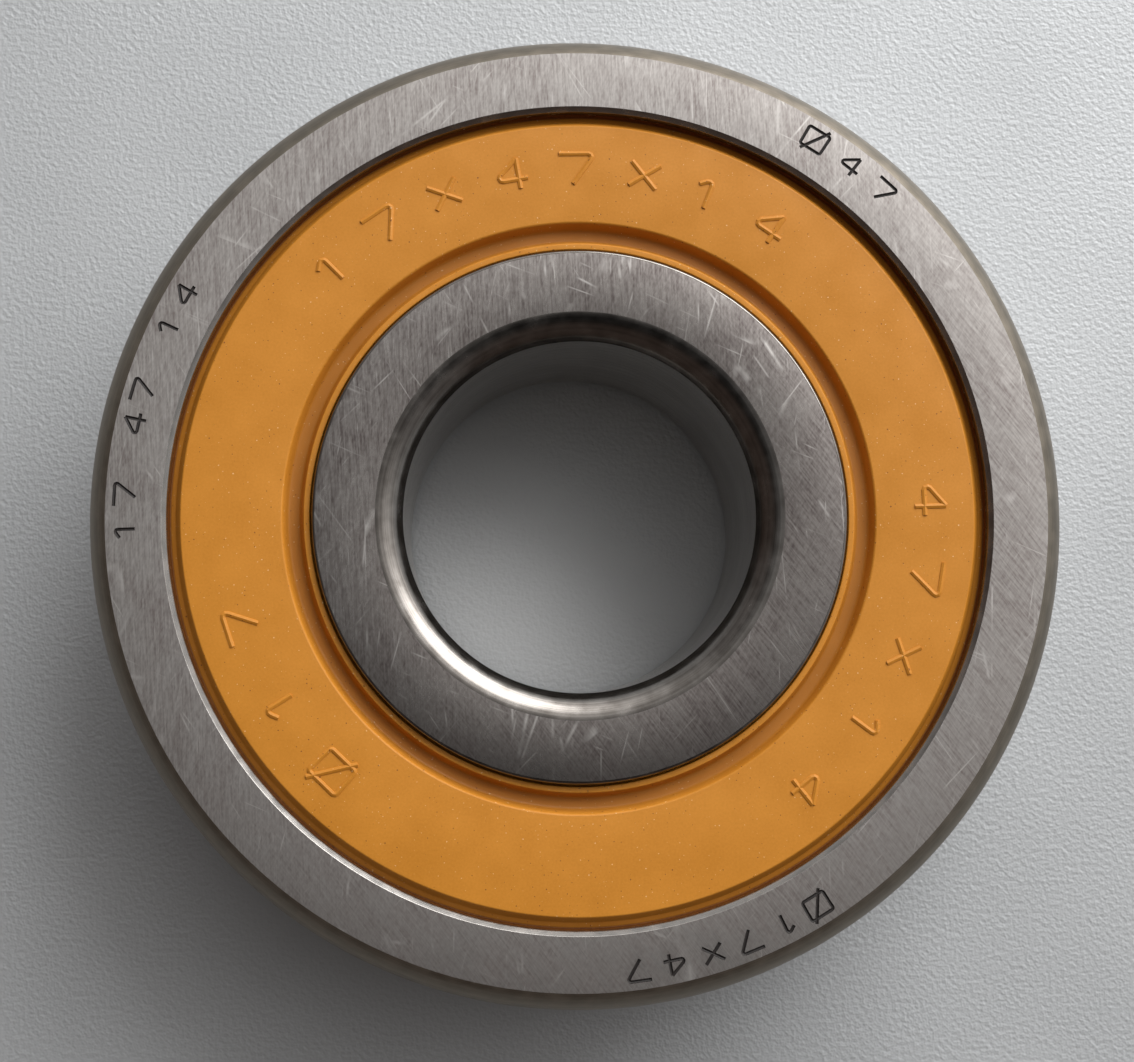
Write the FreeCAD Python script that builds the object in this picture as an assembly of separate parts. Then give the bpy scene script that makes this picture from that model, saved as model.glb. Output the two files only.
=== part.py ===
import FreeCAD, Part
import math
import os
from FreeCAD import Vector

# Sealed single-row deep-groove ball bearing, millimetres.
# The bearing lies flat: its axis is +Z and its origin is the middle of the bore.
# Half-sections are drawn as (radius, height) points and turned about that axis.

# Boundary dimensions
BORE_RADIUS = 8.5
OUTSIDE_RADIUS = 23.5
HALF_WIDTH = 7.0

# Balls and raceways
BALL_COUNT = 7
BALL_RADIUS = 8.731 / 2
PITCH_RADIUS = 16.0
RACE_CLEARANCE = 0.03
GROOVE_RADIUS = 0.52 * 2 * BALL_RADIUS

# Outer ring
OUTER_CORNER_WIDTH = 1.0
OUTER_CORNER_HEIGHT = 1.8
OUTER_CORNER_ARC = 2.2
OUTER_SHOULDER_RADIUS = 18.7
OUTER_FACE_INNER_RADIUS = 19.87
RING_LIP_RADIUS = 19.65
RING_LIP_HEIGHT = 6.25

# Inner ring
INNER_CORNER_WIDTH = 1.3
INNER_CORNER_HEIGHT = 0.9
INNER_CORNER_ARC = 1.6
INNER_SHOULDER_RADIUS = 13.2
LAND_RADIUS = 12.8
LAND_CHAMFER = 0.15
LAND_FOOT_HEIGHT = 6.05
LIP_GROOVE_RADIUS = 12.35
LIP_GROOVE_TOP = 5.75
LIP_GROOVE_BOTTOM = 5.55
INNER_SHOULDER_HEIGHT = 5.1

# Seal seat: the undercut in the outer ring that the seal's rim snaps into
SEAT_RADIUS = 20.25
SEAT_HEIGHT = 5.2
SEAT_CONE_HEIGHT = 6.0

# Seal: rubber moulded on a steel washer
SEAL_FACE_HEIGHT = 6.6
SEAL_BACK_HEIGHT = 5.5
SEAL_FLAT_OUTER_RADIUS = 18.9
SEAL_FLAT_INNER_RADIUS = 14.35
SEAL_EDGE_RADIUS = 0.2
SEAL_LEDGE_OUTER_RADIUS = 19.6
SEAL_LEDGE_OUTER_HEIGHT = 6.0
SEAL_LEDGE_INNER_RADIUS = 19.3
SEAL_LEDGE_INNER_HEIGHT = 6.12
SEAL_GROOVE_HEIGHT = 5.95
SEAL_GROOVE_OUTER_RADIUS = 14.0
SEAL_GROOVE_INNER_RADIUS = 13.4
LIP_CREST_HEIGHT = 6.55
LIP_CREST_OUTER_RADIUS = 13.2
LIP_CREST_INNER_RADIUS = 12.92
LIP_NECK_HEIGHT = 5.98
LIP_TIP_RADIUS = 12.48
LIP_TIP_TOP = 5.685
LIP_TIP_BOTTOM = 5.6
LIP_HEEL_RADIUS = 12.95

# Steel washer inside the seal
INSERT_THICKNESS = 0.3
INSERT_INNER_RADIUS = 14.6
INSERT_OUTER_RADIUS = 19.0
INSERT_BEND_RADIUS = 0.45
INSERT_RIM_FOOT = 5.35

# Cage: two pressed rings, riveted together between the balls
CAGE_SHEET = 0.6
CAGE_POCKET_CLEARANCE = 0.12
CAGE_INNER_RADIUS = 13.75
CAGE_OUTER_RADIUS = 18.25
RIVET_SHANK_RADIUS = 0.75
RIVET_HEAD_RADIUS = 1.25
RIVET_HEAD_RISE = 0.55
RIVET_HEAD_RIM = 0.1

AXIS = Vector(0, 0, 1)
CENTRE = Vector(0, 0, 0)
FULL_TURN = 360
SAME_POINT = 1e-6


def arc(centre, radius, start, end):
    """Start, middle and end points of an arc in the half-section, between two angles in degrees."""
    angles = [math.radians(angle) for angle in (start, (start + end) / 2, end)]
    return tuple((centre[0] + radius * math.cos(a), centre[1] + radius * math.sin(a)) for a in angles)


def corner(start, end, radius, side):
    """Start, middle and end points of a turned corner: an arc flatter than a quarter circle, so that
    it meets the ground faces at a slight edge. Side is +1 for an outside corner and -1 for a bore's."""
    width, climb = end[0] - start[0], end[1] - start[1]
    half_chord = math.hypot(width, climb) / 2
    rise = radius - math.sqrt(radius ** 2 - half_chord ** 2)
    lean = side * rise / (2 * half_chord)
    middle = ((start[0] + end[0]) / 2 + lean * climb, (start[1] + end[1]) / 2 - lean * width)
    return start, middle, end


def chain(*pieces):
    """Segments through corners (one point) and arcs (three points), joined by straight lines."""
    segments = []
    last = None
    for piece in pieces:
        points = piece if isinstance(piece[0], tuple) else (piece,)
        if last is not None and math.dist(last, points[0]) > SAME_POINT:
            segments.append((last, points[0]))
        if len(points) == 3:
            segments.append(points)
        last = points[-1]
    return segments


def mirrored(segments):
    """The same segments on the other side of the bearing's middle plane, run backwards."""
    return [tuple((radius, -height) for radius, height in reversed(points)) for points in reversed(segments)]


def turned(segments):
    """Closed half-section turned a full turn about the bearing's axis."""
    edges = []
    for points in segments:
        corners = [Vector(radius, 0, height) for radius, height in points]
        curve = Part.Arc(*corners) if len(corners) == 3 else Part.LineSegment(*corners)
        edges.append(curve.toShape())
    return Part.Face(Part.Wire(edges)).revolve(CENTRE, AXIS, FULL_TURN)


def ring(side, race, shoulder_radius):
    """Ring turned from one side of its half-section, the same side mirrored, and its raceway."""
    groove_centre = race - math.copysign(GROOVE_RADIUS, race - PITCH_RADIUS)
    edge = math.sqrt(GROOVE_RADIUS ** 2 - (shoulder_radius - groove_centre) ** 2)
    upper = chain(*side, (shoulder_radius, edge))
    raceway = [((shoulder_radius, edge), (race, 0), (shoulder_radius, -edge))]
    lower = mirrored(upper)
    closing = [(lower[-1][-1], upper[0][0])]
    return turned(upper + raceway + lower + closing)


def outer_ring():
    """Outer ring: rounded outside corners, a lip and an undercut seat for each seal, and the raceway."""
    edge_chamfer = OUTER_FACE_INNER_RADIUS - RING_LIP_RADIUS
    corner_foot = (OUTSIDE_RADIUS, HALF_WIDTH - OUTER_CORNER_HEIGHT)
    corner_top = (OUTSIDE_RADIUS - OUTER_CORNER_WIDTH, HALF_WIDTH)
    side = [
        corner(corner_foot, corner_top, OUTER_CORNER_ARC, 1),
        (OUTER_FACE_INNER_RADIUS, HALF_WIDTH),
        (RING_LIP_RADIUS, HALF_WIDTH - edge_chamfer),
        (RING_LIP_RADIUS, RING_LIP_HEIGHT),
        (SEAT_RADIUS, SEAT_CONE_HEIGHT),
        (SEAT_RADIUS, SEAT_HEIGHT),
        (OUTER_SHOULDER_RADIUS, SEAT_HEIGHT),
    ]
    race = PITCH_RADIUS + BALL_RADIUS + RACE_CLEARANCE
    return ring(side, race, OUTER_SHOULDER_RADIUS)


def inner_ring():
    """Inner ring: rounded bore corners, a land and a lip groove for each seal, and the raceway."""
    corner_foot = (BORE_RADIUS, HALF_WIDTH - INNER_CORNER_HEIGHT)
    corner_top = (BORE_RADIUS + INNER_CORNER_WIDTH, HALF_WIDTH)
    side = [
        corner(corner_foot, corner_top, INNER_CORNER_ARC, -1),
        (LAND_RADIUS - LAND_CHAMFER, HALF_WIDTH),
        (LAND_RADIUS, HALF_WIDTH - LAND_CHAMFER),
        (LAND_RADIUS, LAND_FOOT_HEIGHT),
        (LIP_GROOVE_RADIUS, LIP_GROOVE_TOP),
        (LIP_GROOVE_RADIUS, LIP_GROOVE_BOTTOM),
        (INNER_SHOULDER_RADIUS, INNER_SHOULDER_HEIGHT),
    ]
    race = PITCH_RADIUS - BALL_RADIUS - RACE_CLEARANCE
    return ring(side, race, INNER_SHOULDER_RADIUS)


def seal_rubber():
    """Upper seal's rubber: snapped-in rim, flat face, neck groove and the lip beside the inner ring."""
    insert_top = SEAL_BACK_HEIGHT + INSERT_THICKNESS
    bend_centre = (INSERT_OUTER_RADIUS - INSERT_BEND_RADIUS, insert_top - INSERT_BEND_RADIUS)
    face_edge = SEAL_FACE_HEIGHT - SEAL_EDGE_RADIUS
    return turned(chain(
        (OUTER_SHOULDER_RADIUS, SEAT_HEIGHT),
        (SEAT_RADIUS, SEAT_HEIGHT),
        (SEAT_RADIUS, SEAT_CONE_HEIGHT),
        (RING_LIP_RADIUS, RING_LIP_HEIGHT),
        (SEAL_LEDGE_OUTER_RADIUS, SEAL_LEDGE_OUTER_HEIGHT),
        (SEAL_LEDGE_INNER_RADIUS, SEAL_LEDGE_INNER_HEIGHT),
        arc((SEAL_FLAT_OUTER_RADIUS, face_edge), SEAL_EDGE_RADIUS, 0, 90),
        arc((SEAL_FLAT_INNER_RADIUS, face_edge), SEAL_EDGE_RADIUS, 90, 180),
        (SEAL_GROOVE_OUTER_RADIUS, SEAL_GROOVE_HEIGHT),
        (SEAL_GROOVE_INNER_RADIUS, SEAL_GROOVE_HEIGHT),
        (LIP_CREST_OUTER_RADIUS, LIP_CREST_HEIGHT),
        (LIP_CREST_INNER_RADIUS, LIP_CREST_HEIGHT),
        (LIP_CREST_INNER_RADIUS, LIP_NECK_HEIGHT),
        (LIP_TIP_RADIUS, LIP_TIP_TOP),
        (LIP_TIP_RADIUS, LIP_TIP_BOTTOM),
        (LIP_HEEL_RADIUS, SEAL_BACK_HEIGHT),
        (INSERT_INNER_RADIUS, SEAL_BACK_HEIGHT),
        (INSERT_INNER_RADIUS, insert_top),
        arc(bend_centre, INSERT_BEND_RADIUS, 90, 0),
        (INSERT_OUTER_RADIUS, INSERT_RIM_FOOT),
        (OUTER_SHOULDER_RADIUS, INSERT_RIM_FOOT),
        (OUTER_SHOULDER_RADIUS, SEAT_HEIGHT),
    ))


def seal_insert():
    """Upper seal's steel washer, with its outer rim turned in towards the balls."""
    top = SEAL_BACK_HEIGHT + INSERT_THICKNESS
    bend_centre = (INSERT_OUTER_RADIUS - INSERT_BEND_RADIUS, top - INSERT_BEND_RADIUS)
    return turned(chain(
        (INSERT_INNER_RADIUS, SEAL_BACK_HEIGHT),
        (INSERT_INNER_RADIUS, top),
        arc(bend_centre, INSERT_BEND_RADIUS, 90, 0),
        (INSERT_OUTER_RADIUS, INSERT_RIM_FOOT),
        (INSERT_OUTER_RADIUS - INSERT_THICKNESS, INSERT_RIM_FOOT),
        arc(bend_centre, INSERT_BEND_RADIUS - INSERT_THICKNESS, 0, 90),
        (INSERT_INNER_RADIUS, SEAL_BACK_HEIGHT),
    ))


def on_pitch_circle(step):
    """Point on the circle through the ball centres; whole steps are balls, half steps are rivets."""
    angle = 2 * math.pi * step / BALL_COUNT
    return Vector(PITCH_RADIUS * math.cos(angle), PITCH_RADIUS * math.sin(angle), 0)


def cage_upper():
    """Upper cage half: a pressed band with a dome over each ball and a rivet hole in each bridge."""
    pocket_radius = BALL_RADIUS + CAGE_POCKET_CLEARANCE
    dome_radius = pocket_radius + CAGE_SHEET
    band_height = dome_radius + CAGE_SHEET
    band = Part.makeCylinder(CAGE_OUTER_RADIUS, band_height)
    band = band.cut(Part.makeCylinder(CAGE_INNER_RADIUS, band_height))
    domes = [Part.makeSphere(dome_radius, on_pitch_circle(step)) for step in range(BALL_COUNT)]
    sheet = Part.makeCylinder(CAGE_OUTER_RADIUS, CAGE_SHEET).fuse(domes).common(band)
    pockets = [Part.makeSphere(pocket_radius, on_pitch_circle(step)) for step in range(BALL_COUNT)]
    holes = [
        Part.makeCylinder(RIVET_SHANK_RADIUS, CAGE_SHEET, on_pitch_circle(step + 0.5))
        for step in range(BALL_COUNT)
    ]
    return sheet.cut(pockets + holes).Solids[0]


def cage_rivet(step):
    """Rivet through both cage halves, with a shallow domed head at each end."""
    rim = CAGE_SHEET + RIVET_HEAD_RIM
    crown = CAGE_SHEET + RIVET_HEAD_RISE
    dome_rise = crown - rim
    dome_radius = (RIVET_HEAD_RADIUS ** 2 + dome_rise ** 2) / (2 * dome_rise)
    dome_centre = crown - dome_radius
    half_angle = math.degrees(math.asin(RIVET_HEAD_RADIUS / dome_radius))
    dome = arc((0, dome_centre), dome_radius, 90, 90 - half_angle)
    upper = chain(dome, (RIVET_HEAD_RADIUS, CAGE_SHEET), (RIVET_SHANK_RADIUS, CAGE_SHEET))
    lower = mirrored(upper)
    shank = [(upper[-1][-1], lower[0][0])]
    middle = [(lower[-1][-1], upper[0][0])]
    rivet = turned(upper + shank + lower + middle)
    rivet.translate(on_pitch_circle(step + 0.5))
    return rivet


def flipped(shape):
    """The same piece on the bearing's other side."""
    return shape.mirror(CENTRE, AXIS)


def build():
    nodes = {
        "outer_ring": outer_ring(),
        "inner_ring": inner_ring(),
        "cage_upper": cage_upper(),
        "cage_lower": flipped(cage_upper()),
        "seal_rubber_upper": seal_rubber(),
        "seal_rubber_lower": flipped(seal_rubber()),
        "seal_insert_upper": seal_insert(),
        "seal_insert_lower": flipped(seal_insert()),
    }
    for step in range(BALL_COUNT):
        nodes[f"ball_{step + 1}"] = Part.makeSphere(BALL_RADIUS, on_pitch_circle(step))
        nodes[f"cage_rivet_{step + 1}"] = cage_rivet(step)
    return nodes


os.makedirs("parts", exist_ok=True)
for name, shape in build().items():
    shape.exportStep(f"parts/{name}.step")
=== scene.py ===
import itertools
import math

import bpy
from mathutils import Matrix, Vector


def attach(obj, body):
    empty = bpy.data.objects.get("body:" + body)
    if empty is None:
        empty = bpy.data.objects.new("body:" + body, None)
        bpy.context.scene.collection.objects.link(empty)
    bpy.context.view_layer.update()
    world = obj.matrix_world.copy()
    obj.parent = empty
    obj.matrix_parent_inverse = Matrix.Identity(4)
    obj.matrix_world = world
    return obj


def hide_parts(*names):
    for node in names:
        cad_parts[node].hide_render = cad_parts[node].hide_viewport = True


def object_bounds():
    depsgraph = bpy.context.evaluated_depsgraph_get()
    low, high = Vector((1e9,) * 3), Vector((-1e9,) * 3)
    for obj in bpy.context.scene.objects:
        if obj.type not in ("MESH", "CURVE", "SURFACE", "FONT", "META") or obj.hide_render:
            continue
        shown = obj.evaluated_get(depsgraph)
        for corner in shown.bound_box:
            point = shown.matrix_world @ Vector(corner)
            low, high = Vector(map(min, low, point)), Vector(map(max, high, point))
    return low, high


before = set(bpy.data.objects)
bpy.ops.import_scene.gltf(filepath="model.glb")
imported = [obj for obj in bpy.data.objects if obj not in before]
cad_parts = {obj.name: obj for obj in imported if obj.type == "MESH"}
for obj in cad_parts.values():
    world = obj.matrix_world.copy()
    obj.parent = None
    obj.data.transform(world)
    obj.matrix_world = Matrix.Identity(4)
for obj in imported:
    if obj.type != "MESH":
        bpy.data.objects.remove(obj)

cad_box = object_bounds()


# --- Outer ring ------------------------------------------------------------------------------------
# Ring of through-hardened chrome steel. It is turned, hardened, then its two side faces are ground
# between discs and its outside is ground centreless, which leaves the corners as they were turned.

MM = 0.001
BALL_RADIUS = 8.731 / 2
PITCH_RADIUS = 16.0
HALF_WIDTH = 7.0
GROOVE_CONFORMITY = 0.52
GROOVE_RADIUS = GROOVE_CONFORMITY * 2 * BALL_RADIUS
RACE_CLEARANCE = 0.03
TURNS = 360
SHARP_ANGLE = math.radians(8)

# The middle of a facet lies a little inside the true round, so each finish begins this far inside it.
FACE_MARGIN = 0.001
WALL_MARGIN = 0.01
CORNER_MARGIN = 0.1


def linear(code):
    """sRGB hex colour as linear red, green, blue and alpha."""
    channels = [int(code[i:i + 2], 16) / 255 for i in (1, 3, 5)]
    return [c / 12.92 if c <= 0.04045 else ((c + 0.055) / 1.055) ** 2.4 for c in channels] + [1.0]


def add(tree, kind, feeds=None, **settings):
    """Adds a node: settings are its attributes, feeds its inputs, as values or other nodes' outputs."""
    node = tree.nodes.new(kind)
    for name, value in settings.items():
        setattr(node, name, value)
    for socket, value in (feeds or {}).items():
        if isinstance(value, bpy.types.NodeSocket):
            tree.links.new(value, node.inputs[socket])
        else:
            node.inputs[socket].default_value = value
    return node


def material(name, constants):
    """Material with one Principled shader; its constants are set on the shader's own sockets."""
    made = bpy.data.materials.new(name)
    made.use_nodes = True
    principled = made.node_tree.nodes["Principled BSDF"]
    for socket, value in constants.items():
        principled.inputs[socket].default_value = value
    return made, made.node_tree, principled


def object_place(tree):
    """The point being shaded, in the piece's own metres."""
    return add(tree, "ShaderNodeTexCoord").outputs["Object"]


def grain(tree, place, size, angle=0.0, detail=2.0, seed=0.0):
    """Noise from 0 to 1 whose blobs measure size (x, y, z) in millimetres, turned by angle about Z."""
    laid = add(tree, "ShaderNodeMapping", {
        "Vector": place,
        "Location": (seed * MM, seed * MM, 0),
        "Rotation": (0, 0, math.radians(angle)),
        "Scale": [s * MM for s in size],
    }, vector_type="TEXTURE")
    noise = add(tree, "ShaderNodeTexNoise", {"Vector": laid.outputs[0], "Scale": 1.0, "Detail": detail})
    return noise.outputs[0]


def remap(tree, value, low, high, to_low=0.0, to_high=1.0):
    """Value moved from one range to another, and held inside it."""
    return add(tree, "ShaderNodeMapRange", {0: value, 1: low, 2: high, 3: to_low, 4: to_high}).outputs[0]


def maths(tree, operation, *values):
    """One arithmetic step on one, two or three values."""
    return add(tree, "ShaderNodeMath", dict(enumerate(values)), operation=operation).outputs[0]


def blend(tree, share, first, second, how="MIX"):
    """Two colours joined: mixed, a share of 1 gives the second; with "ADD" it adds all of the second."""
    mixed = add(tree, "ShaderNodeMix", {0: share, 6: first, 7: second}, data_type="RGBA", blend_type=how)
    return mixed.outputs[2]


def emboss(tree, shader, strength, depth, height):
    """Fine relief on the shader's surface, at most depth millimetres deep."""
    relief = add(tree, "ShaderNodeBump", {"Strength": strength, "Distance": depth * MM, "Height": height})
    tree.links.new(relief.outputs[0], shader.inputs["Normal"])


def distance_from_axis(tree, place):
    """How far a point lies from the bearing's axis."""
    flat = add(tree, "ShaderNodeVectorMath", {0: place, 1: (1, 1, 0)}, operation="MULTIPLY")
    return add(tree, "ShaderNodeVectorMath", {0: flat.outputs[0]}, operation="LENGTH").outputs["Value"]


def dot_product(tree, value, direction):
    """Length of a vector along a direction."""
    product = add(tree, "ShaderNodeVectorMath", {0: value, 1: direction}, operation="DOT_PRODUCT")
    return product.outputs["Value"]


def scratches(tree, place, angle, spacing, length, width, seed):
    """Hair-fine lines near one direction, about spacing apart and width wide in millimetres, each kept
    over a few lengths of its run: 1 on a line."""
    laid = add(tree, "ShaderNodeMapping", {
        "Vector": place,
        "Location": (seed * MM, seed * MM, 0),
        "Rotation": (0, 0, math.radians(angle)),
        "Scale": (spacing * MM, 16 * spacing * MM, 50 * MM),
    }, vector_type="TEXTURE")
    cells = add(tree, "ShaderNodeTexVoronoi", {"Vector": laid.outputs[0], "Scale": 1.0},
                feature="DISTANCE_TO_EDGE")
    line = remap(tree, cells.outputs["Distance"], width / spacing, 0.0)
    kept = remap(tree, grain(tree, place, (spacing, length, spacing), angle, seed=seed + 31), 0.56, 0.70)
    return maths(tree, "MULTIPLY", line, kept)


def around_axis(tree, place):
    """The shaded point as (distance from the bearing's axis, 0, height), for marks left by turning."""
    height = add(tree, "ShaderNodeSeparateXYZ", {0: place}).outputs["Z"]
    return add(tree, "ShaderNodeCombineXYZ", {"X": distance_from_axis(tree, place), "Z": height}).outputs[0]


def ground_side_steel(name, dark, light, dull):
    """Chrome steel side face, ground between two discs: satin, with short straight grinding marks that
    cross at shallow angles, darker stains where oil has dried, and a few longer handling scratches.
    dull is the roughness of its smoothest marks."""
    made, tree, shader = material(name, {"Metallic": 1.0})
    place = object_place(tree)
    upright = grain(tree, place, (0.08, 0.9, 0.08), angle=3, detail=3.0, seed=5)
    leaning = grain(tree, place, (0.08, 1.3, 0.08), angle=38, detail=3.0, seed=17)
    crossing = grain(tree, place, (0.09, 0.9, 0.09), angle=-27, seed=29)
    leaning_share = remap(tree, dot_product(tree, place, (0.75, -0.66, 0)), -8 * MM, 12 * MM)
    marks = add(tree, "ShaderNodeMix", {0: leaning_share, 2: upright, 3: leaning}).outputs[0]
    marks = add(tree, "ShaderNodeMix", {0: 0.25, 2: marks, 3: crossing}).outputs[0]
    stain = grain(tree, place, (3.2, 3.2, 3.2), detail=4.0, seed=3)
    speckle = grain(tree, place, (0.16, 0.2, 0.16), angle=20, seed=11)
    shade = remap(tree, marks, 0.34, 0.62, -0.42, 0.30)
    shade = maths(tree, "ADD", shade, remap(tree, stain, 0.35, 0.68, -0.22, 0.14))
    shade = maths(tree, "ADD", shade, remap(tree, speckle, 0.3, 0.7, -0.12, 0.12))
    tone = remap(tree, shade, -0.6, 0.5)
    body = blend(tree, tone, linear(dark), linear(light))
    lines = scratches(tree, place, angle=3, spacing=1.3, length=2.0, width=0.03, seed=1)
    for angle, seed in ((-12, 7), (33, 13), (-41, 23), (66, 37)):
        more = scratches(tree, place, angle, spacing=2.2, length=2.0, width=0.03, seed=seed)
        lines = maths(tree, "MAXIMUM", lines, more)
    lines = maths(tree, "MULTIPLY", lines, 0.62)
    colour = blend(tree, lines, body, linear("#F1EEEA"))
    tree.links.new(colour, shader.inputs["Base Color"])
    rough = remap(tree, marks, 0.35, 0.65, 0.10, 0.0)
    rough = maths(tree, "ADD", rough, remap(tree, stain, 0.3, 0.7, 0.05, -0.03))
    rough = maths(tree, "ADD", rough, dull)
    tree.links.new(rough, shader.inputs["Roughness"])
    emboss(tree, shader, 0.35, 0.004, marks)
    return made


def turned_corner_steel(name, dark, light, dull):
    """Chrome steel corner as it left the lathe and the tumbling barrel, with fine turning lines that run
    round the ring; dull is its lowest roughness."""
    made, tree, shader = material(name, {"Metallic": 1.0})
    place = object_place(tree)
    lines = grain(tree, around_axis(tree, place), (0.07, 1, 0.07), detail=3.0, seed=2)
    patches = grain(tree, place, (0.9, 0.9, 0.5), detail=4.0, seed=9)
    tone = remap(tree, lines, 0.3, 0.7, 0.1, 0.6)
    tone = maths(tree, "ADD", tone, remap(tree, patches, 0.35, 0.7, 0.0, 0.4))
    colour = blend(tree, tone, linear(dark), linear(light))
    tree.links.new(colour, shader.inputs["Base Color"])
    tree.links.new(remap(tree, patches, 0.3, 0.7, dull, dull + 0.12), shader.inputs["Roughness"])
    emboss(tree, shader, 0.7, 0.005, lines)
    return made


def ground_round_steel():
    """Chrome steel ground to size on the outside or in the bore: even and fairly bright, with very fine
    lines round the ring."""
    made, tree, shader = material("chrome_steel_cylinder_ground", {"Metallic": 1.0})
    place = object_place(tree)
    lines = grain(tree, around_axis(tree, place), (0.5, 1, 0.05), detail=3.0, seed=4)
    clouds = grain(tree, place, (4, 4, 2), detail=3.0, seed=6)
    tone = remap(tree, lines, 0.3, 0.7, 0.0, 0.6)
    tone = maths(tree, "ADD", tone, remap(tree, clouds, 0.35, 0.7, 0.0, 0.4))
    colour = blend(tree, tone, linear("#A29D99"), linear("#C9C6C2"))
    tree.links.new(colour, shader.inputs["Base Color"])
    tree.links.new(remap(tree, lines, 0.3, 0.7, 0.24, 0.34), shader.inputs["Roughness"])
    emboss(tree, shader, 0.3, 0.003, lines)
    return made


def outline(corners, steps=6):
    """Closed half-section in (radius, height) points from corners of (radius, height, rounding)."""
    points = []
    for i, (radius, height, rounding) in enumerate(corners):
        here = Vector((radius, height))
        if not rounding:
            points.append(here)
            continue
        back = (Vector(corners[i - 1][:2]) - here).normalized()
        ahead = (Vector(corners[(i + 1) % len(corners)][:2]) - here).normalized()
        half = back.angle(ahead) / 2
        centre = here + (back + ahead).normalized() * rounding / math.sin(half)
        start = here + back * rounding / math.tan(half) - centre
        end = here + ahead * rounding / math.tan(half) - centre
        points += [centre + start.slerp(end, step / steps) * rounding for step in range(steps + 1)]
    return points


def bulge(start, end, radius, side, steps=12):
    """Arc of a turned corner from start to end, as corners with no rounding; side -1 is a bore's."""
    chord = Vector(end) - Vector(start)
    depth = math.sqrt(radius ** 2 - (chord.length / 2) ** 2)
    outwards = side * Vector((chord.y, -chord.x)).normalized()
    centre = (Vector(start) + Vector(end)) / 2 - depth * outwards
    first, last = Vector(start) - centre, Vector(end) - centre
    return [(*(centre + first.slerp(last, step / steps) * radius), 0) for step in range(steps + 1)]


def raceway(bottom, shoulder, steps=32):
    """Ball groove from the upper shoulder edge down to the lower one, as corners with no rounding."""
    centre = bottom - math.copysign(GROOVE_RADIUS, bottom - PITCH_RADIUS)
    edge = math.asin(math.sqrt(GROOVE_RADIUS ** 2 - (shoulder - centre) ** 2) / GROOVE_RADIUS)
    reach = math.copysign(GROOVE_RADIUS, bottom - centre)
    angles = [edge - 2 * edge * step / steps for step in range(steps + 1)]
    return [(centre + reach * math.cos(a), GROOVE_RADIUS * math.sin(a), 0) for a in angles]


def below(corners):
    """The same corners on the bearing's other side, run backwards."""
    return [(radius, -height, rounding) for radius, height, rounding in reversed(corners)]


def geometry_tree(name, sockets):
    """New Geometry Nodes tree with named inputs and one output, and the outputs of its input node."""
    tree = bpy.data.node_groups.new(name, "GeometryNodeTree")
    for socket, kind in sockets:
        tree.interface.new_socket(socket, in_out="INPUT", socket_type="NodeSocket" + kind)
    tree.interface.new_socket("Geometry", in_out="OUTPUT", socket_type="NodeSocketGeometry")
    return tree, add(tree, "NodeGroupInput").outputs


def turning_tree():
    """Geometry Nodes that turn a half-section about the axis and dress its flat faces, round walls, outer
    corners and the rest."""
    tree, given = geometry_tree("turned_ring", (
        ("Section", "Object"), ("Turns", "Int"), ("Path Radius", "Float"),
        ("Face Height", "Float"), ("Face Material", "Material"),
        ("Wall Radius", "Float"), ("Wall Is Outside", "Bool"), ("Wall Material", "Material"),
        ("Outer Corner Radius", "Float"), ("Outer Corner Material", "Material"),
        ("Turned Material", "Material"),
    ))
    path = add(tree, "GeometryNodeCurvePrimitiveCircle", {
        "Resolution": given["Turns"], "Radius": given["Path Radius"]})
    path = add(tree, "GeometryNodeSetCurveNormal", {"Curve": path.outputs["Curve"]}, mode="Z_UP")
    section = add(tree, "GeometryNodeObjectInfo", {"Object": given["Section"]})
    ring = add(tree, "GeometryNodeCurveToMesh", {0: path.outputs[0], 1: section.outputs["Geometry"]})
    ring = add(tree, "GeometryNodeFlipFaces", {"Mesh": ring.outputs[0]})
    place = add(tree, "GeometryNodeInputPosition").outputs[0]
    height = add(tree, "ShaderNodeSeparateXYZ", {0: place}).outputs["Z"]
    on_face = maths(tree, "GREATER_THAN", maths(tree, "ABSOLUTE", height), given["Face Height"])
    radius = distance_from_axis(tree, place)
    on_wall = add(tree, "GeometryNodeSwitch", {
        0: given["Wall Is Outside"],
        1: maths(tree, "LESS_THAN", radius, given["Wall Radius"]),
        2: maths(tree, "GREATER_THAN", radius, given["Wall Radius"]),
    }, input_type="FLOAT").outputs[0]
    on_corner = maths(tree, "GREATER_THAN", radius, given["Outer Corner Radius"])
    ring = add(tree, "GeometryNodeSetMaterial", {0: ring.outputs[0], 2: given["Turned Material"]})
    ring = add(tree, "GeometryNodeSetMaterial", {
        0: ring.outputs[0], 1: on_corner, 2: given["Outer Corner Material"]})
    ring = add(tree, "GeometryNodeSetMaterial", {0: ring.outputs[0], 1: on_wall, 2: given["Wall Material"]})
    ring = add(tree, "GeometryNodeRealizeInstances", {0: ring.outputs[0]})
    ring = add(tree, "GeometryNodeSetMaterial", {0: ring.outputs[0], 1: on_face, 2: given["Face Material"]})
    add(tree, "NodeGroupOutput", {0: ring.outputs[0]})
    return tree


def section_curve(name, points, path_radius):
    """Closed flat curve of a half-section, measured from the turning path, in metres."""
    if sum(a.cross(b) for a, b in zip(points, points[1:] + points[:1])) < 0:
        points = points[::-1]
    curve = bpy.data.curves.new(name, "CURVE")
    spline = curve.splines.new("POLY")
    spline.points.add(len(points) - 1)
    for point, (radius, height) in zip(spline.points, points):
        point.co = ((radius - path_radius) * MM, -height * MM, 0, 1)
    spline.use_cyclic_u = True
    section = bpy.data.objects.new(name, curve)
    bpy.context.scene.collection.objects.link(section)
    return section


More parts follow.
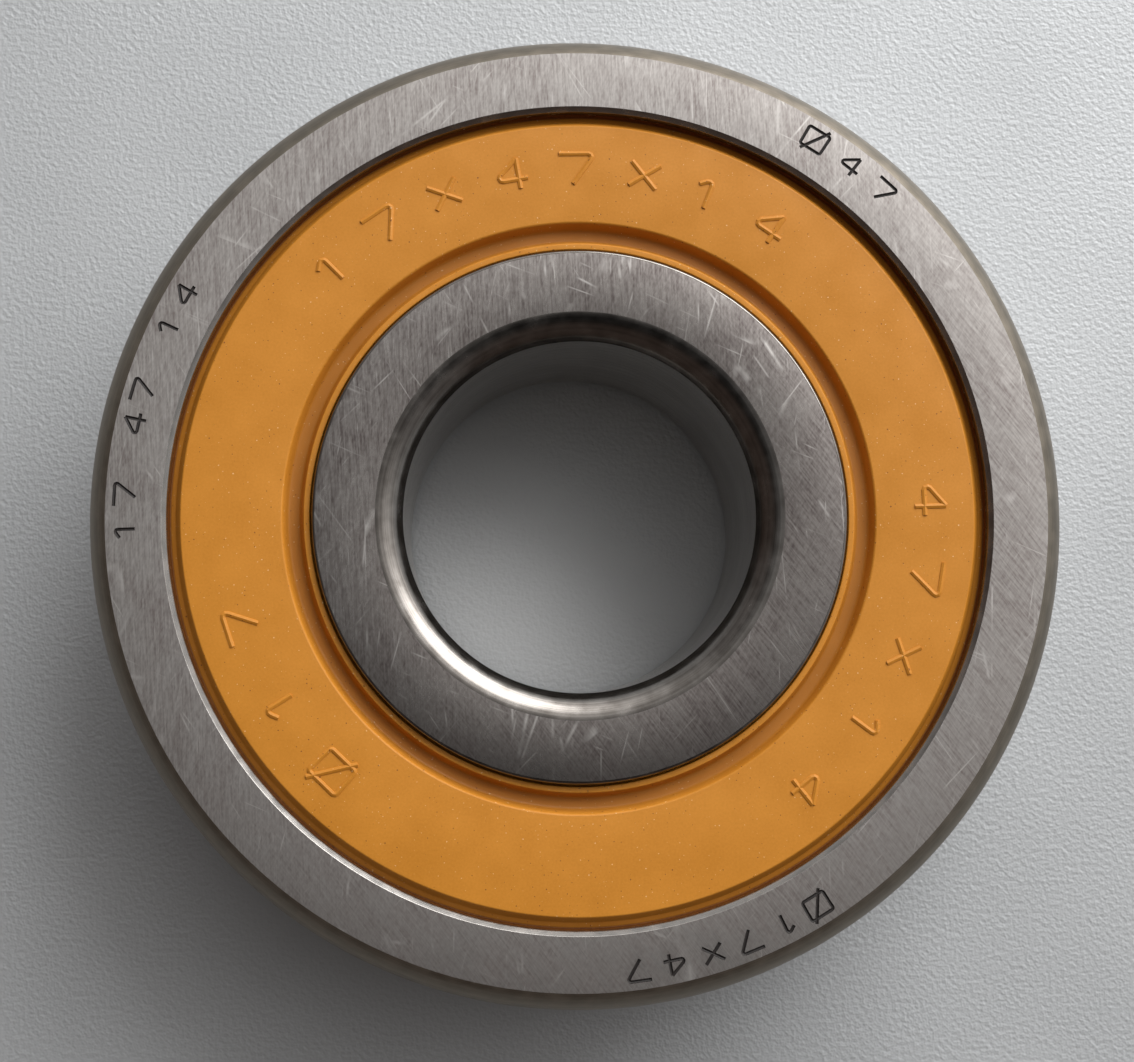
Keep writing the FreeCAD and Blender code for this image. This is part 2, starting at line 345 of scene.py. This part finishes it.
def evaluated_piece(name, tree, inputs):
    """Plain mesh object that a Geometry Nodes tree makes from named inputs; no modifier is left on it."""
    maker = bpy.data.objects.new(name + "_maker", bpy.data.meshes.new(name + "_maker"))
    bpy.context.scene.collection.objects.link(maker)
    modifier = maker.modifiers.new(name, "NODES")
    modifier.node_group = tree
    sockets = {s.name: s.identifier for s in tree.interface.items_tree if s.in_out == "INPUT"}
    for socket, value in inputs.items():
        modifier[sockets[socket]] = value
    bpy.context.view_layer.update()
    evaluated = maker.evaluated_get(bpy.context.evaluated_depsgraph_get())
    mesh = bpy.data.meshes.new_from_object(evaluated)
    mesh.name = name
    bpy.data.objects.remove(maker)
    piece = bpy.data.objects.new(name, mesh)
    bpy.context.scene.collection.objects.link(piece)
    return piece


TURNING = turning_tree()


def turned_piece(name, corners, turned, face, wall, wall_radius, wall_is_outside, corner, corner_radius):
    """Piece turned from a half-section of corners in millimetres, smooth but for its real edges. Its flat
    faces, its round wall, what lies beyond corner_radius, and the rest, turned, have their own materials."""
    section = section_curve(name + "_section", outline(corners), PITCH_RADIUS)
    piece = evaluated_piece(name, TURNING, {
        "Section": section, "Turns": TURNS, "Path Radius": PITCH_RADIUS * MM,
        "Face Height": (HALF_WIDTH - FACE_MARGIN) * MM, "Face Material": face,
        "Wall Radius": wall_radius * MM, "Wall Is Outside": wall_is_outside, "Wall Material": wall,
        "Outer Corner Radius": corner_radius * MM, "Outer Corner Material": corner, "Turned Material": turned,
    })
    bpy.data.objects.remove(section)
    piece.data.shade_smooth()
    piece.data.set_sharp_from_angle(angle=SHARP_ANGLE)
    return piece


def etched_black():
    """Bottom of a rolled-in mark, blackened with etching acid: dull black with a trace of rust brown."""
    made, tree, shader = material("etched_black_mark", {"Roughness": 0.6})
    stain = grain(tree, object_place(tree), (0.2, 0.2, 0.2), seed=33)
    colour = blend(tree, stain, linear("#0D0B0B"), linear("#2A2320"))
    tree.links.new(colour, shader.inputs["Base Color"])
    return made


# Figures of one or two strokes in a box one wide and one high. A stroke that ends where it starts is
# closed, and strokes that cross are cut one after the other.
FIGURES = {
    "1": (((0.15, 0.72), (0.5, 1), (0.5, 0)),),
    "4": (((0.74, 1), (0, 0.32), (1, 0.32)), ((0.74, 0), (0.74, 1))),
    "7": (((0, 1), (1, 1), (0.38, 0)),),
    "x": (((0.1, 0.1), (0.9, 0.9)), ((0.1, 0.9), (0.9, 0.1))),
    "o": (((0, 0), (1, 0), (1, 1), (0, 1), (0, 0)), ((0.1, -0.2), (0.9, 1.2))),
    " ": (),
}
STROKES = 2
BEAD_SIDES = 8
ROUNDING_POINTS = 3


def stroke_curve(name, text, number, figure_size, pitch):
    """First or second stroke of every figure in a row, drawn straight along X from the first figure."""
    width, height = figure_size
    curve = bpy.data.curves.new(name, "CURVE")
    for place, figure in enumerate(text):
        for stroke in FIGURES[figure][number:number + 1]:
            closed = stroke[0] == stroke[-1]
            points = stroke[:-1] if closed else stroke
            spline = curve.splines.new("POLY")
            spline.points.add(len(points) - 1)
            for point, (x, y) in zip(spline.points, points):
                point.co = ((place * pitch + (x - 0.5) * width) * MM, (y - 0.5) * height * MM, 0, 1)
            spline.use_cyclic_u = closed
    strokes = bpy.data.objects.new(name, curve)
    bpy.context.scene.collection.objects.link(strokes)
    return strokes


def marking_tree():
    """Geometry Nodes that bend rows of strokes round the axis as round beads and either raise them on a
    part or cut them into it."""
    tree, given = geometry_tree("marking", (
        ("Part", "Object"), ("Strokes", "Object"), ("Row Radius", "Float"), ("Start Angle", "Float"),
        ("Figure Rounding", "Float"), ("Bead Radius", "Float"), ("Bead Height", "Float"),
        ("Bead Material", "Material"), ("Side", "Float"), ("Raised", "Bool"),
    ))
    strokes = add(tree, "GeometryNodeObjectInfo", {"Object": given["Strokes"]}).outputs["Geometry"]
    eased = add(tree, "GeometryNodeFilletCurve", {
        "Curve": strokes, "Radius": given["Figure Rounding"], "Limit Radius": True, "Count": ROUNDING_POINTS,
    }, mode="POLY")
    bead = add(tree, "GeometryNodeCurvePrimitiveCircle", {
        "Resolution": BEAD_SIDES, "Radius": given["Bead Radius"]})
    beads = add(tree, "GeometryNodeCurveToMesh", {
        0: eased.outputs[0], 1: bead.outputs["Curve"], "Fill Caps": True}).outputs[0]
    place = add(tree, "GeometryNodeInputPosition").outputs[0]
    straight = add(tree, "ShaderNodeSeparateXYZ", {0: place}).outputs
    swing = maths(tree, "DIVIDE", straight["X"], given["Row Radius"])
    turn = maths(tree, "SUBTRACT", given["Start Angle"], swing)
    radius = maths(tree, "ADD", given["Row Radius"], straight["Y"])
    height = maths(tree, "ADD", given["Bead Height"], straight["Z"])
    across = maths(tree, "MULTIPLY", radius, maths(tree, "SINE", turn))
    bent = add(tree, "ShaderNodeCombineXYZ", {
        "X": maths(tree, "MULTIPLY", radius, maths(tree, "COSINE", turn)),
        "Y": maths(tree, "MULTIPLY", across, given["Side"]),
        "Z": maths(tree, "MULTIPLY", height, given["Side"]),
    })
    beads = add(tree, "GeometryNodeSetPosition", {"Geometry": beads, "Position": bent.outputs[0]})
    beads = add(tree, "GeometryNodeSetMaterial", {0: beads.outputs[0], 2: given["Bead Material"]}).outputs[0]
    part = add(tree, "GeometryNodeObjectInfo", {"Object": given["Part"]}).outputs["Geometry"]
    raised = add(tree, "GeometryNodeMeshBoolean", {"Mesh 2": part}, operation="UNION", solver="MANIFOLD")
    tree.links.new(beads, raised.inputs["Mesh 2"])
    cut = add(tree, "GeometryNodeMeshBoolean", {"Mesh 1": part, "Mesh 2": beads},
              operation="DIFFERENCE", solver="MANIFOLD")
    marked = add(tree, "GeometryNodeSwitch", {
        0: given["Raised"], 1: cut.outputs[0], 2: raised.outputs[0]}, input_type="GEOMETRY")
    real = add(tree, "GeometryNodeRealizeInstances", {0: marked.outputs[0]})
    add(tree, "NodeGroupOutput", {0: real.outputs[0]})
    return tree


MARKING = marking_tree()


def marked_piece(
        piece, rows, row_radius, figure_size, rounding,
        bead_radius, bead_height, bead_material, side, raised):
    """The piece with rows of figures, raised or cut. A row is its text, the angle of its first figure and
    the angle from figure to figure; side -1 is the lower side."""
    name = piece.name
    for (text, start, pitch), number in itertools.product(rows, range(STROKES)):
        spacing = math.radians(pitch) * row_radius
        strokes = stroke_curve(name + "_strokes", text, number, figure_size, spacing)
        plain = piece
        plain.name = name + "_plain"
        piece = evaluated_piece(name, MARKING, {
            "Part": plain, "Strokes": strokes,
            "Row Radius": row_radius * MM, "Start Angle": math.radians(start),
            "Figure Rounding": rounding * MM, "Bead Radius": bead_radius * MM,
            "Bead Height": bead_height * MM, "Bead Material": bead_material, "Side": side, "Raised": raised,
        })
        for used in (strokes, plain):
            bpy.data.objects.remove(used)
    piece.data.shade_smooth()
    piece.data.set_sharp_from_angle(angle=SHARP_ANGLE)
    return piece


OUTER_FACE = ground_side_steel("chrome_steel_disc_ground", "#8C8481", "#D4D0CC", 0.30)
TURNED = turned_corner_steel("chrome_steel_turned", "#817D79", "#B8B5B1", 0.18)
HARDENED = turned_corner_steel("chrome_steel_turned_heat_browned", "#6C655A", "#988F82", 0.38)
ROUND_WALL = ground_round_steel()
ETCHED = etched_black()

OUTSIDE_RADIUS = 23.5
OUTER_CORNER_WIDTH = 1.0
OUTER_CORNER_HEIGHT = 1.8
OUTER_CORNER_ARC = 2.2
FACE_EDGE_RADIUS = 19.87
RING_LIP_RADIUS = 19.65
RING_LIP_TOP = 6.78
RING_LIP_FOOT = 6.25
SEAT_RADIUS = 20.25
SEAT_TOP = 6.0
SEAT_FLOOR = 5.2
OUTER_SHOULDER = 18.7

corner_foot = (OUTSIDE_RADIUS, HALF_WIDTH - OUTER_CORNER_HEIGHT)
corner_top = (OUTSIDE_RADIUS - OUTER_CORNER_WIDTH, HALF_WIDTH)
outer_side = bulge(corner_foot, corner_top, OUTER_CORNER_ARC, 1) + [
    (FACE_EDGE_RADIUS, HALF_WIDTH, 0.03),
    (RING_LIP_RADIUS, RING_LIP_TOP, 0.04),
    (RING_LIP_RADIUS, RING_LIP_FOOT, 0.03),
    (SEAT_RADIUS, SEAT_TOP, 0.05),
    (SEAT_RADIUS, SEAT_FLOOR, 0.08),
    (OUTER_SHOULDER, SEAT_FLOOR, 0.08),
]
outer_race = raceway(PITCH_RADIUS + BALL_RADIUS + RACE_CLEARANCE, OUTER_SHOULDER)
outer_ring = turned_piece(
    "outer_ring_ground", outer_side + outer_race + below(outer_side), TURNED, OUTER_FACE, ROUND_WALL,
    wall_radius=OUTSIDE_RADIUS - WALL_MARGIN, wall_is_outside=True,
    corner=HARDENED, corner_radius=OUTSIDE_RADIUS - OUTER_CORNER_WIDTH - CORNER_MARGIN)
RING_SIZES = (("o47", 58, 5.5), ("17 47 14", 182, 4.43), ("o17x47", 301, 4.8))
outer_ring = marked_piece(
    outer_ring, RING_SIZES, row_radius=21.6, figure_size=(1.15, 1.0), rounding=0.1, bead_radius=0.085,
    bead_height=HALF_WIDTH + 0.01, bead_material=ETCHED, side=1, raised=False)
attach(outer_ring, "outer_ring")
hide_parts("outer_ring")


# --- Inner ring ------------------------------------------------------------------------------------
# Ring of the same chrome steel, pressed on the shaft. Its bore and side faces are ground, and beside
# each seal it has a plain land and a shallow groove that the rubber lip runs in.

BORE_RADIUS = 8.5
BORE_CORNER_WIDTH = 1.3
BORE_CORNER_HEIGHT = 0.9
BORE_CORNER_ARC = 1.6
LAND_RADIUS = 12.8
LAND_FOOT = 6.05
LIP_GROOVE_RADIUS = 12.35
LIP_GROOVE_TOP = 5.75
LIP_GROOVE_FLOOR = 5.55
INNER_SHOULDER = 13.2
INNER_SHOULDER_TOP = 5.1

STAINED = turned_corner_steel("chrome_steel_turned_stained", "#57524D", "#96928E", 0.16)
INNER_FACE = ground_side_steel("chrome_steel_disc_ground_stained", "#655D5B", "#B4AFAB", 0.25)

inner_side = [
    (LAND_RADIUS, HALF_WIDTH, 0.15),
    (LAND_RADIUS, LAND_FOOT, 0.05),
    (LIP_GROOVE_RADIUS, LIP_GROOVE_TOP, 0.05),
    (LIP_GROOVE_RADIUS, LIP_GROOVE_FLOOR, 0.05),
    (INNER_SHOULDER, INNER_SHOULDER_TOP, 0.1),
]
corner_foot = (BORE_RADIUS, HALF_WIDTH - BORE_CORNER_HEIGHT)
corner_top = (BORE_RADIUS + BORE_CORNER_WIDTH, HALF_WIDTH)
inner_bore = bulge(corner_foot, corner_top, BORE_CORNER_ARC, -1)
inner_race = raceway(PITCH_RADIUS - BALL_RADIUS - RACE_CLEARANCE, INNER_SHOULDER)
inner_ring = turned_piece(
    "inner_ring_ground", inner_bore + inner_side + inner_race + below(inner_side) + below(inner_bore),
    STAINED, INNER_FACE, ROUND_WALL, wall_radius=BORE_RADIUS + WALL_MARGIN, wall_is_outside=False,
    corner=STAINED, corner_radius=LAND_RADIUS)
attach(inner_ring, "inner_ring")
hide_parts("inner_ring")


# --- Balls -----------------------------------------------------------------------------------------
# Seven chrome steel balls, lapped between cast iron plates to a mirror. They run in the two grooves
# with a hair of clearance and a thin film of grease.

def lapped_ball_steel():
    """Lapped chrome steel: a mirror with only the faintest cloud of grease on it."""
    made, tree, shader = material("chrome_steel_lapped", {"Metallic": 1.0})
    place = object_place(tree)
    film = grain(tree, place, (2.0, 2.0, 2.0), detail=3.0, seed=8)
    colour = blend(tree, film, linear("#BDB7B0"), linear("#DAD7D2"))
    tree.links.new(colour, shader.inputs["Base Color"])
    tree.links.new(remap(tree, film, 0.35, 0.7, 0.05, 0.16), shader.inputs["Roughness"])
    return made


def dress(names, finish):
    """Gives carried-over CAD parts their real finish."""
    for name in names:
        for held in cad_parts[name].material_slots:
            held.material = finish


BALLS = range(1, 8)
dress([f"ball_{k}" for k in BALLS], lapped_ball_steel())


# --- Cage ------------------------------------------------------------------------------------------
# Two wavy rings pressed from low-carbon strip, one above and one below the balls, which keep them
# apart. Small cold-headed rivets between the balls hold the halves together.

def pressed_strip():
    """Pressed low-carbon steel strip after barrel finishing: soft grey with fine drawing lines."""
    made, tree, shader = material("low_carbon_steel_pressed", {"Metallic": 1.0})
    place = object_place(tree)
    drawn = grain(tree, around_axis(tree, place), (0.3, 1, 0.12), detail=3.0, seed=12)
    peen = grain(tree, place, (0.25, 0.25, 0.25), detail=3.0, seed=14)
    tone = remap(tree, drawn, 0.3, 0.7, 0.0, 0.5)
    tone = maths(tree, "ADD", tone, remap(tree, peen, 0.3, 0.7, 0.0, 0.5))
    colour = blend(tree, tone, linear("#88847E"), linear("#B5B2AC"))
    tree.links.new(colour, shader.inputs["Base Color"])
    tree.links.new(remap(tree, peen, 0.3, 0.7, 0.32, 0.48), shader.inputs["Roughness"])
    emboss(tree, shader, 0.3, 0.006, peen)
    return made


def headed_wire():
    """Cold-headed mild steel wire: bright where the tool pressed it, with small tool marks."""
    made, tree, shader = material("mild_steel_cold_headed", {"Metallic": 1.0})
    place = object_place(tree)
    marks = grain(tree, place, (0.1, 0.1, 0.1), detail=3.0, seed=16)
    colour = blend(tree, marks, linear("#9A958E"), linear("#CBC8C2"))
    tree.links.new(colour, shader.inputs["Base Color"])
    tree.links.new(remap(tree, marks, 0.3, 0.7, 0.26, 0.42), shader.inputs["Roughness"])
    return made


dress(["cage_upper", "cage_lower"], pressed_strip())
dress([f"cage_rivet_{k}" for k in BALLS], headed_wire())


# --- Seal inserts ----------------------------------------------------------------------------------
# A washer of thin phosphated sheet steel, bent down at its rim, stiffens each seal. The rubber is
# moulded round it, so that it shows only from inside the bearing.

def phosphated_sheet():
    """Zinc-phosphated sheet, which rubber bonds to: dark grey, dull, with a fine crystal sparkle."""
    made, tree, shader = material("steel_sheet_zinc_phosphated", {"Metallic": 0.6, "Roughness": 0.62})
    place = object_place(tree)
    crystals = grain(tree, place, (0.06, 0.06, 0.06), detail=4.0, seed=18)
    colour = blend(tree, crystals, linear("#3E4041"), linear("#6E7070"))
    tree.links.new(colour, shader.inputs["Base Color"])
    emboss(tree, shader, 0.4, 0.004, crystals)
    return made


dress(["seal_insert_upper", "seal_insert_lower"], phosphated_sheet())


# --- Seals -----------------------------------------------------------------------------------------
# Amber nitrile rubber moulded round the insert: a rim that snaps into the outer ring, a flat web, and
# a thin lip that rubs on the inner ring. The same mould makes both, and the lower one faces down.

SEAL_FACE = 6.6
SEAL_FACE_OUTER_RADIUS = 19.03
SEAL_FACE_INNER_RADIUS = 14.22
LEDGE_OUTER_RADIUS = 19.6
LEDGE_OUTER_HEIGHT = 6.0
LEDGE_INNER_RADIUS = 19.3
LEDGE_INNER_HEIGHT = 6.12
NECK_OUTER_RADIUS = 14.0
NECK_INNER_RADIUS = 13.4
NECK_FLOOR = 5.95
CREST_OUTER_RADIUS = 13.2
CREST_INNER_RADIUS = 12.92
CREST_TOP = 6.55
CREST_FOOT = 5.98
LIP_RADIUS = 12.48
LIP_TOP = 5.685
LIP_BOTTOM = 5.6
LIP_HEEL_RADIUS = 12.95
LIP_HEEL = 5.5
INSERT_INNER_RADIUS = 14.6
INSERT_FACE = 5.8
INSERT_BEND_RADIUS = 18.75
INSERT_RIM_RADIUS = 19.0
INSERT_RIM_TOP = 5.55
INSERT_RIM_BOTTOM = 5.35

# Painted shade in the grooves, mixed into the rubber's colour: none at the first radius, at its full strength
# from the second.
RIM_PAINTED_SHADE = (19.0, 19.25, 0.24)
GAP_PAINTED_SHADE = (19.46, 19.58, 0.92)
NECK_PAINTED_SHADE = (14.2, 13.95, 0.40)
CREST_UNSHADED = (13.2, 13.45, 1.0)


def by_radius(tree, place, none, full, strength):
    """0 at one radius in millimetres, strength at the other."""
    return remap(tree, distance_from_axis(tree, place), none * MM, full * MM, 0.0, strength)


def moulded_nitrile():
    """Amber nitrile rubber, moulded: matt with a dull sheen, faintly clouded, with a few grains of dust,
    small darker specks and the turning lines of its mould. Painted shade darkens its two grooves."""
    made, tree, shader = material("nitrile_rubber_moulded", {"IOR": 1.52, "Specular IOR Level": 0.35})
    place = object_place(tree)
    clouds = grain(tree, place, (2.2, 2.2, 2.2), detail=4.0, seed=20)
    fine = grain(tree, place, (0.12, 0.12, 0.12), detail=3.0, seed=22)
    tool = grain(tree, around_axis(tree, place), (0.12, 1, 0.12), seed=24)
    tone = remap(tree, clouds, 0.3, 0.7, 0.0, 0.6)
    tone = maths(tree, "ADD", tone, remap(tree, fine, 0.3, 0.7, 0.0, 0.4))
    body = blend(tree, tone, linear("#C17C1C"), linear("#D28B2F"))
    dust = remap(tree, grain(tree, place, (0.1, 0.1, 0.1), detail=0.0, seed=26), 0.81, 0.84)
    dusty = blend(tree, dust, body, linear("#E7C28C"))
    # Small darker brown specks scattered at random over the rubber.
    dark_specks = remap(tree, grain(tree, place, (0.11, 0.11, 0.11), detail=0.0, seed=28), 0.19, 0.16)
    specked = blend(tree, dark_specks, dusty, linear("#7E4815"))
    # Painted shade: the rubber's colour is pulled towards dark brown in the grooves beside the ring's lip and
    # beside the lip's crest, where shade falls.
    neck = by_radius(tree, place, *NECK_PAINTED_SHADE)
    groove_shade = maths(tree, "MULTIPLY", neck, by_radius(tree, place, *CREST_UNSHADED))
    for groove in (RIM_PAINTED_SHADE, GAP_PAINTED_SHADE):
        groove_shade = maths(tree, "MAXIMUM", groove_shade, by_radius(tree, place, *groove))
    groove_shade = maths(tree, "MULTIPLY", groove_shade, remap(tree, fine, 0.3, 0.7, 0.85, 1.0))
    colour = blend(tree, groove_shade, specked, linear("#451B05"))
    tree.links.new(colour, shader.inputs["Base Color"])
    tree.links.new(remap(tree, clouds, 0.3, 0.7, 0.62, 0.50), shader.inputs["Roughness"])
    surface = maths(tree, "ADD", maths(tree, "MULTIPLY", fine, 0.6), maths(tree, "MULTIPLY", tool, 0.4))
    emboss(tree, shader, 0.35, 0.01, surface)
    return made


RUBBER = moulded_nitrile()

seal_corners = [
    (OUTER_SHOULDER, SEAT_FLOOR, 0.04),
    (SEAT_RADIUS, SEAT_FLOOR, 0.08),
    (SEAT_RADIUS, SEAT_TOP, 0.05),
    (RING_LIP_RADIUS, RING_LIP_FOOT, 0.02),
    (LEDGE_OUTER_RADIUS, LEDGE_OUTER_HEIGHT, 0.05),
    (LEDGE_INNER_RADIUS, LEDGE_INNER_HEIGHT, 0.15),
    (SEAL_FACE_OUTER_RADIUS, SEAL_FACE, 0.12),
    (SEAL_FACE_INNER_RADIUS, SEAL_FACE, 0.14),
    (NECK_OUTER_RADIUS, NECK_FLOOR, 0.2),
    (NECK_INNER_RADIUS, NECK_FLOOR, 0.15),
    (CREST_OUTER_RADIUS, CREST_TOP, 0.05),
    (CREST_INNER_RADIUS, CREST_TOP, 0.06),
    (CREST_INNER_RADIUS, CREST_FOOT, 0.05),
    (LIP_RADIUS, LIP_TOP, 0.03),
    (LIP_RADIUS, LIP_BOTTOM, 0.03),
    (LIP_HEEL_RADIUS, LIP_HEEL, 0.05),
    (INSERT_INNER_RADIUS, LIP_HEEL, 0.0),
    (INSERT_INNER_RADIUS, INSERT_FACE, 0.0),
    (INSERT_BEND_RADIUS, INSERT_FACE, 0.25),
    (INSERT_RIM_RADIUS, INSERT_RIM_TOP, 0.1),
    (INSERT_RIM_RADIUS, INSERT_RIM_BOTTOM, 0.0),
    (OUTER_SHOULDER, INSERT_RIM_BOTTOM, 0.0),
]

SEAL_SIZES = (("17x47x14", 135, 11.14), ("47x14", 3, 13.25), ("o17", 226, 14))
for side, facing, corners in (("upper", 1, seal_corners), ("lower", -1, below(seal_corners))):
    seal = turned_piece(
        f"seal_rubber_{side}_moulded", corners, RUBBER, RUBBER, RUBBER,
        wall_radius=0, wall_is_outside=False, corner=RUBBER, corner_radius=SEAT_RADIUS)
    seal = marked_piece(
        seal, SEAL_SIZES, row_radius=16.9, figure_size=(1.7, 1.5), rounding=0.17, bead_radius=0.15,
        bead_height=SEAL_FACE - 0.07, bead_material=RUBBER, side=facing, raised=True)
    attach(seal, "outer_ring")
    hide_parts(f"seal_rubber_{side}")


# --- Studio ----------------------------------------------------------------------------------------
# A pale matt table under one large soft lamp, up to the right, in a room whose walls are lit on that
# side and dim and brown on the other. Seen directly, the walls are a plain pale backdrop.

def pale_table():
    """Pale grey painted board, matt, slightly uneven, with the fine stipple of a roller."""
    made, tree, shader = material("painted_board_matt", {"Roughness": 0.55, "Metallic": 0.35})
    place = object_place(tree)
    clouds = grain(tree, place, (9, 9, 9), detail=3.0, seed=40)
    colour = blend(tree, clouds, linear("#B4B7B9"), linear("#C2C5C7"))
    tree.links.new(colour, shader.inputs["Base Color"])
    stipple = grain(tree, place, (0.25, 0.25, 0.25), detail=1.0, seed=42)
    emboss(tree, shader, 0.8, 0.05, stipple)
    return made


TABLE_HALF = 3.0
TABLE_CORNERS = ((-1, -1), (1, -1), (1, 1), (-1, 1))
table_mesh = bpy.data.meshes.new("table_top")
table_mesh.from_pydata(
    [(x * TABLE_HALF, y * TABLE_HALF, cad_box[0].z) for x, y in TABLE_CORNERS], [], [(0, 1, 2, 3)])
table_mesh.materials.append(pale_table())
table_top = bpy.data.objects.new("table_top", table_mesh)
bpy.context.scene.collection.objects.link(table_top)


def towards(tilt, azimuth):
    """Direction leaning by tilt degrees from straight up, towards an azimuth counted from +X."""
    tilt, azimuth = math.radians(tilt), math.radians(azimuth)
    return Vector((math.sin(tilt) * math.cos(azimuth), math.sin(tilt) * math.sin(azimuth), math.cos(tilt)))


def by_elevation(tree, looking, none, full):
    """0 at one angle above the horizon and 1 at another, in degrees."""
    height = add(tree, "ShaderNodeSeparateXYZ", {0: looking}).outputs["Z"]
    return remap(tree, height, math.sin(math.radians(none)), math.sin(math.radians(full)))


LAMP_DISTANCE = 0.6
LAMP_SPREAD = 22
LAMP_RADIANCE = 5.0
LAMP_AZIMUTH = 56
LAMP_DIRECTION = towards(55, LAMP_AZIMUTH)

# The power of a disk is its radiance times pi times its area.
lamp_radius = LAMP_DISTANCE * math.tan(math.radians(LAMP_SPREAD))
lamp_data = bpy.data.lights.new("soft_lamp", "AREA")
lamp_data.shape = "DISK"
lamp_data.size = 2 * lamp_radius
lamp_data.energy = LAMP_RADIANCE * math.pi * math.pi * lamp_radius ** 2
lamp = bpy.data.objects.new("soft_lamp", lamp_data)
lamp.location = LAMP_DIRECTION * LAMP_DISTANCE
lamp.rotation_euler = LAMP_DIRECTION.to_track_quat("Z", "Y").to_euler()
bpy.context.scene.collection.objects.link(lamp)

# The glow round the lamp, as its brightness by degrees from the lamp's direction. A weaker patch of it
# lies on the ceiling, from 20 to 5 degrees from its middle. Angles of the walls are above the horizon.
ROOM_GLOW = ((0, 1.8), (28, 1.6), (36, 0.8), (42, 0.46), (49, 0.27), (54, 0.1), (58, 0.03), (180, 0.02))
GLOW_TINT = (1, 0.97, 0.95)
CEILING_PATCH = towards(17, 140)
PATCH_EDGE = math.cos(math.radians(20))
PATCH_FULL = math.cos(math.radians(5))
PATCH_GLOW = 0.3
DIM_WALL = (0.075, 0.052, 0.042, 1)
LIT_WALL = (0.45, 0.45, 0.45, 1)
BACKDROP = linear("#DDE0E2")
WALL_TOP = (60, 45)
FAR_WALL_TOP = (14, 6)

world = bpy.data.worlds.new("room")
bpy.context.scene.world = world
world.use_nodes = True
room = world.node_tree
sky = room.nodes["Background"]
looking = add(room, "ShaderNodeTexCoord").outputs["Generated"]
from_lamp = maths(room, "ARCCOSINE", dot_product(room, looking, LAMP_DIRECTION))
glow = add(room, "ShaderNodeValToRGB", {0: maths(room, "DIVIDE", from_lamp, math.pi)})
ramp = glow.color_ramp
ramp.elements.remove(ramp.elements[1])
for degrees, level in ROOM_GLOW:
    stop = ramp.elements.new(degrees / 180) if degrees else ramp.elements[0]
    stop.color = (*(level * share for share in GLOW_TINT), 1)
patch = remap(room, dot_product(room, looking, CEILING_PATCH), PATCH_EDGE, PATCH_FULL, 0.0, PATCH_GLOW)
air = blend(room, 1.0, glow.outputs[0], patch, "ADD")
lit_side = remap(room, dot_product(room, looking, towards(90, LAMP_AZIMUTH)), -0.3, 0.5)
wall = blend(room, lit_side, DIM_WALL, LIT_WALL)
air_and_wall = blend(room, by_elevation(room, looking, *WALL_TOP), air, wall, "ADD")
far_wall = blend(room, lit_side, DIM_WALL, BACKDROP)
around = blend(room, by_elevation(room, looking, *FAR_WALL_TOP), air_and_wall, far_wall)
seen = add(room, "ShaderNodeLightPath").outputs["Is Camera Ray"]
room.links.new(blend(room, seen, around, BACKDROP), sky.inputs["Color"])

LENS = 64.1
SENSOR = 36
CAMERA_PLACE = Vector((-4.74, -8.94, 102.7)) * MM
CAMERA_TARGET = Vector((-0.67, -0.80, HALF_WIDTH)) * MM

camera_data = bpy.data.cameras.new("camera")
camera_data.lens = LENS
camera_data.sensor_width = SENSOR
camera_data.sensor_fit = "HORIZONTAL"
camera_data.clip_start = 0.005
camera = bpy.data.objects.new("camera", camera_data)
camera.location = CAMERA_PLACE
aim = CAMERA_TARGET - CAMERA_PLACE
camera.rotation_euler = Vector((0, 0, -1)).rotation_difference(aim).to_euler()
bpy.context.scene.collection.objects.link(camera)
bpy.context.scene.camera = camera
bpy.context.scene.view_settings.view_transform = "Standard"
